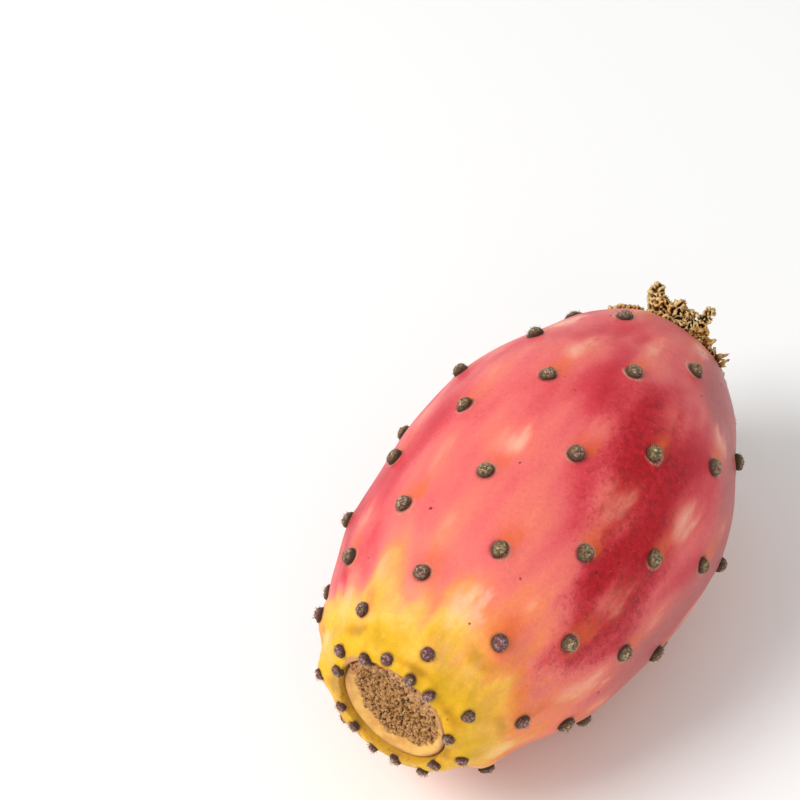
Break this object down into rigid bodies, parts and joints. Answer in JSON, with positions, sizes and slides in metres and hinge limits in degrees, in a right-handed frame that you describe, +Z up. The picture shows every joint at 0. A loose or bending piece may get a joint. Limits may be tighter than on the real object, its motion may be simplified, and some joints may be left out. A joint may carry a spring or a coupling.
{
  "type": "prickly pear fruit",
  "caption": "Whole prickly pear fruit lying on its side, with felt areoles in a spiral, a dished floral scar at one end and a torn stem at the other.",
  "frame": {"origin": "on the resting surface, under the middle of the fruit's bounding box", "axes": "+Z up, +Y along the fruit towards its torn stem end, -Y towards its floral scar, +X across it"},
  "size_m": [0.051, 0.0862, 0.0467],
  "materials": {
    "skin": "smooth waxy cactus fruit skin, golden yellow at the floral scar, pink to crimson over the belly, with pale streaks",
    "areole_felt": "dull brown felt of short hairs",
    "scar_cork": "dry pitted cork with a smooth tan wall",
    "dried_tissue": "dull crumbly dried plant tissue",
    "bristle": "fine pale straw-coloured hairs"
  },
  "bodies": {
    "root": {"prickly_pear_fruit": "skin"}
  },
  "joints": []
}
